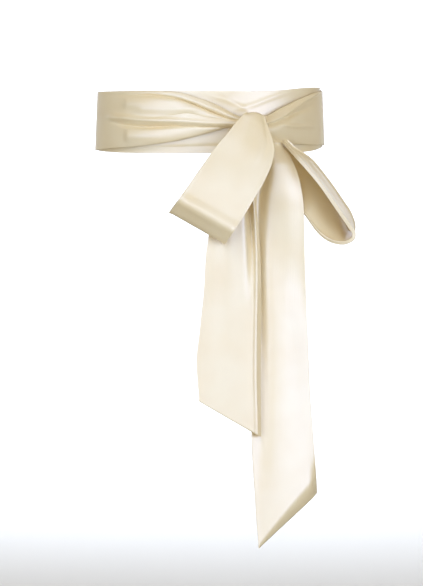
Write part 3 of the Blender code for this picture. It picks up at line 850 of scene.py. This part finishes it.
# The knot's lump, from left to right
KNOT = [
    Ring(35, -102, -2.5, 7.5, 8),
    Ring(40, -102.5, -4.8, 10.8, 11),
    Ring(46, -103, -7.2, 13.2, 13.4),
    Ring(52, -102.6, -9, 14.8, 15.4),
    Ring(58, -101, -10, 14.5, 16.5),
    Ring(64, -95.5, -10.4, 13, 17),
    Ring(70, -90.5, -10.8, 10.6, 16.8),
    Ring(76, -87, -11.4, 8.8, 15.2),
    Ring(81, -84.5, -12, 6.8, 12.6),
    Ring(85, -83, -12.6, 4, 8),
]
KNOT_ROWS = 150
KNOT_SIDES = 160
KNOT_SQUARENESS = 2.5
KNOT_PLEATS = 9
KNOT_PLEAT_HEIGHT = 0.8
KNOT_PLEAT_DRIFT = 1.3
KNOT_PLEAT_START = 0.7


def knot_points():
    """The knot: rounded sections from left to right, with folds that run round it and drift.

    A section's two sides are the cosine and the sine of its angle, raised to a power below 1, which
    squares it, and the folds stand out by the size of a cosine along the knot.
    """
    table = np.array(KNOT, float)
    x = np.linspace(table[0, 0], table[-1, 0], KNOT_ROWS)
    y, z, half_depth, half_height = curve_through(table[:, 0], table[:, 1:], x).T
    angle = np.arange(KNOT_SIDES) * 2 * math.pi / KNOT_SIDES
    power = 2 / KNOT_SQUARENESS
    side = np.sign(np.cos(angle)) * np.abs(np.cos(angle)) ** power
    rise = np.sign(np.sin(angle)) * np.abs(np.sin(angle)) ** power
    share = (x - x[0]) / (x[-1] - x[0])
    drift = KNOT_PLEAT_DRIFT * np.sin(angle) + KNOT_PLEAT_START
    turn = 2 * math.pi * KNOT_PLEATS * share[:, None] + drift[None, :]
    pleat = KNOT_PLEAT_HEIGHT * (np.abs(np.cos(turn / 2)) - 0.5)
    out_y = (half_depth[:, None] + pleat) * side[None, :]
    out_z = (half_height[:, None] + pleat) * rise[None, :]
    points_x = x[:, None] + 0 * out_y
    return np.stack([points_x, y[:, None] + out_y, z[:, None] + out_z], axis=-1)


def knot_mesh():
    """The knot's rings joined into a closed lump, with a fan of faces over each end."""
    points = knot_points()
    rows, sides = points.shape[:2]
    tips = [points[0].mean(axis=0), points[-1].mean(axis=0)]
    every = np.concatenate([points.reshape(-1, 3), tips])
    numbers = np.arange(rows * sides).reshape(rows, sides)
    around = np.roll(numbers, -1, axis=1)
    walls = np.stack([numbers[:-1], around[:-1], around[1:], numbers[1:]], axis=-1).reshape(-1, 4)
    near = np.stack([around[0], numbers[0], np.full(sides, rows * sides)], axis=-1)
    far = np.stack([numbers[-1], around[-1], np.full(sides, rows * sides + 1)], axis=-1)
    mesh = bpy.data.meshes.new("knot")
    mesh.from_pydata((every * MM).tolist(), [], walls.tolist() + near.tolist() + far.tolist())
    mesh.update()
    mesh.shade_smooth()
    set_strip_map(mesh, every[:, [0, 2]] * MM)
    return mesh


def build_sash(satin):
    """All eight pieces of the sash: seven stretches of the strip, each made a shell, and the knot."""
    back = 180 + BACK_LAP_ANGLE
    left_end = LEFT_WRAP[-1].angle
    right_end = RIGHT_WRAP[0].angle
    left_creases = LEFT_CREASES + BACK_CREASES_LEFT
    right_creases = RIGHT_CREASES + BACK_CREASES_RIGHT
    inner = wrap_points(INNER_WRAP, INNER_CREASES, INNER_PUFFS, -back, back, False, (False, True))
    left = wrap_points(LEFT_WRAP, left_creases, LEFT_PUFFS, -back, left_end, True, (True, True))
    right = wrap_points(RIGHT_WRAP, right_creases, RIGHT_PUFFS, right_end, back, True, (False, False))
    left_loop = loop_points(LEFT_LOOP, LEFT_LOOP_CREASES, LEFT_LOOP_PUFFS)
    right_loop = loop_points(RIGHT_LOOP, RIGHT_LOOP_CREASES, ())
    left_tail = tail_points(LEFT_TAIL, LEFT_TAIL_CREASES, LEFT_TAIL_LIFT, hung_depth, no_curl)
    right_tail = tail_points(RIGHT_TAIL, RIGHT_TAIL_CREASES, RIGHT_TAIL_LIFT, head_depth, corner_curl)
    stretches = [
        Stretch("inner_wrap", inner, FLAT_EDGE, False, 730, "stretched"),
        Stretch("left_wrap", left, FLAT_EDGE, False, 430, "gathered"),
        Stretch("right_wrap", right, FLAT_EDGE, False, 335, "gathered"),
        Stretch("left_loop", left_loop, SOFT_EDGE, False, 330, "folded"),
        Stretch("right_loop", right_loop, THICK_EDGE, False, 305, "folded"),
        Stretch("left_tail", left_tail, TAIL_EDGE, True, 330, "hung"),
        Stretch("right_tail", right_tail, TAIL_EDGE, True, 470, "hung"),
    ]
    for stretch in stretches:
        mesh = shell_mesh(stretch.name, stretch.points, stretch.edge, stretch.turned_end)
        piece = add_piece(stretch.name, mesh, satin)
    add_piece("knot", knot_mesh(), satin)


# The studio, in metres
FLOOR_Z = -1.05
STAGE_RADIUS = 6.0
SWEEP_RADIUS = 1.6
WALL_TOP = 3.4
SWEEP_STEPS = 24
STAGE_SIDES = 96
STAGE_MIDDLE = 0.001
FLAT_STEPS = 8
FLOOR_ROUGHNESS = 0.8
FLOOR_SHINE = 0.1
FLOOR_PAINT = (0.54, 0.50, 0.39, 1)


def add_stage():
    """A plain pale floor, round, that sweeps up as a quarter circle into a wall on all sides."""
    turn = np.linspace(0, math.pi / 2, SWEEP_STEPS)
    curve_out = STAGE_RADIUS - SWEEP_RADIUS + SWEEP_RADIUS * np.sin(turn)
    curve_up = FLOOR_Z + SWEEP_RADIUS - SWEEP_RADIUS * np.cos(turn)
    flat_out = np.linspace(STAGE_MIDDLE, curve_out[0], FLAT_STEPS)[:-1]
    out = np.concatenate([flat_out, curve_out, [STAGE_RADIUS]])
    up = np.concatenate([np.full(len(flat_out), FLOOR_Z), curve_up, [WALL_TOP]])
    angle = np.arange(STAGE_SIDES) * 2 * math.pi / STAGE_SIDES
    x = out[:, None] * np.sin(angle)
    y = out[:, None] * np.cos(angle)
    points = np.stack([x, y, up[:, None] + 0 * x], axis=-1).reshape(-1, 3)
    numbers = np.arange(len(points)).reshape(len(out), STAGE_SIDES)
    around = np.roll(numbers, -1, axis=1)
    faces = np.stack([numbers[:-1], numbers[1:], around[1:], around[:-1]], axis=-1).reshape(-1, 4)
    mesh = bpy.data.meshes.new("floor")
    mesh.from_pydata(points.tolist(), [], faces.tolist())
    mesh.update()
    mesh.shade_smooth()
    floor = bpy.data.objects.new("floor", mesh)
    bpy.context.scene.collection.objects.link(floor)
    paint = bpy.data.materials.new("pale_floor")
    graph = Graph(paint)
    graph.surface.inputs["Base Color"].default_value = FLOOR_PAINT
    graph.surface.inputs["Roughness"].default_value = FLOOR_ROUGHNESS
    graph.surface.inputs["Specular IOR Level"].default_value = FLOOR_SHINE
    mesh.materials.append(paint)


# The camera: its place in metres, its sensor in millimetres, and the photograph's own height, focal
# length and how far below the horizon its middle lies, in pixels
CAMERA_PLACE = (0.00183, -2.6, 0.0)
PHOTO_HEIGHT = 586.0
PHOTO_FOCAL = 2131.0
PHOTO_HORIZON = 171.5
SENSOR = 36.0


def add_camera():
    """The camera, at the photograph's distance, height and angle of view."""
    lens = bpy.data.cameras.new("camera")
    lens.sensor_width = SENSOR
    lens.lens = SENSOR * PHOTO_FOCAL / PHOTO_HEIGHT
    camera = bpy.data.objects.new("camera", lens)
    camera.location = CAMERA_PLACE
    camera.rotation_euler = (math.pi / 2 - math.atan(PHOTO_HORIZON / PHOTO_FOCAL), 0, 0)
    bpy.context.scene.collection.objects.link(camera)
    bpy.context.scene.camera = camera


# The lamps: places and sizes in metres, and power in watts. They are a little blue, and the world warm
LAMPS = [
    Lamp("key", (-1.55, -2.15, -0.05), (0.0, -0.1, -0.08), 1.8, 1.6, 16.5),
    Lamp("front", (-0.15, -3.1, 0.75), (0.05, -0.1, 0.1), 2.2, 1.8, 13.5),
    Lamp("right", (1.75, -2.1, 0.2), (0.05, -0.1, -0.12), 1.5, 1.3, 26),
    Lamp("left_high", (-0.9, -1.9, 1.6), (0.05, -0.1, -0.12), 1.5, 1.2, 12.5),
    Lamp("top", (0.1, -0.7, 2.4), (0.05, -0.1, -0.12), 1.2, 1.2, 5),
    Lamp("back_fill", (0.3, 2.7, 0.7), (0.0, 0.1, -0.1), 1.5, 1.2, 10),
    Lamp("front_wash", (0.0, -4.0, 2.0), (0.0, -6.0, 0.3), 4.5, 1.0, 90),
    Lamp("backdrop_wash", (0.0, 3.2, 1.9), (0.0, 6.0, 0.2), 4.5, 1.0, 380),
]
LAMP_COLOUR = (0.86, 1.03, 1.54)
WORLD_COLOUR = (1.0, 0.69, 0.22, 1)
WORLD_LIGHT = 0.33


def add_lights():
    """Soft studio light: boxes on all sides and above, two washes on the wall, and a warm world."""
    for lamp in LAMPS:
        light = bpy.data.lights.new(lamp.name, "AREA")
        light.shape = "RECTANGLE"
        light.size = lamp.width
        light.size_y = lamp.height
        light.energy = lamp.power
        light.color = LAMP_COLOUR
        holder = bpy.data.objects.new(lamp.name, light)
        holder.location = lamp.place
        aim = Vector(lamp.aim) - Vector(lamp.place)
        holder.rotation_euler = aim.to_track_quat("-Z", "Y").to_euler()
        holder.visible_camera = False
        bpy.context.scene.collection.objects.link(holder)
    world = bpy.data.worlds.new("studio")
    world.use_nodes = True
    world.node_tree.nodes["Background"].inputs["Color"].default_value = WORLD_COLOUR
    world.node_tree.nodes["Background"].inputs["Strength"].default_value = WORLD_LIGHT
    bpy.context.scene.world = world


bpy.context.scene.view_settings.view_transform = "Standard"
build_sash(make_satin())
add_stage()
add_camera()
add_lights()
